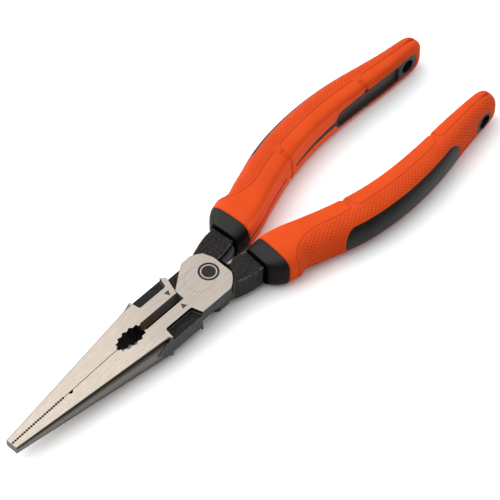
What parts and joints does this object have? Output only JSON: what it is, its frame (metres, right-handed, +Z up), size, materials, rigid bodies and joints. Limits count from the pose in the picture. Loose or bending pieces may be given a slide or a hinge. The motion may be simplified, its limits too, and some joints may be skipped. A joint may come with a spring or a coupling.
{
  "type": "needle nose pliers",
  "caption": "Long tapered gripping pliers with a pipe grip, a wire cutter and moulded two-colour handles on a riveted lap joint.",
  "frame": {"origin": "on the surface the tool lies on, under the middle of its length, on the tool's long axis", "axes": "+X from the nose to the handle ends, +Z up out of the top face of the joint, +Y towards handle A"},
  "size_m": [0.2192, 0.0576, 0.015],
  "materials": {
    "forged_steel": "ground faces, black forged necks",
    "rivet_steel": "ground flush",
    "hard_grip": "satin",
    "soft_grip": "matte, fine texture"
  },
  "bodies": {
    "half_b": {"jaw_half_b": "forged_steel", "grip_core_b": "hard_grip", "grip_cover_b": "soft_grip"},
    "half_a": {"jaw_half_a": "forged_steel", "pivot_rivet": "rivet_steel", "grip_core_a": "hard_grip", "grip_cover_a": "soft_grip"}
  },
  "joints": [
    {"name": "jaw_pivot", "type": "hinge", "parent": "half_b", "child": "half_a", "pos_m": [-0.0206, 0, 0.00751], "axis": [0, 0, 1], "range_deg": [0, 36]}
  ]
}
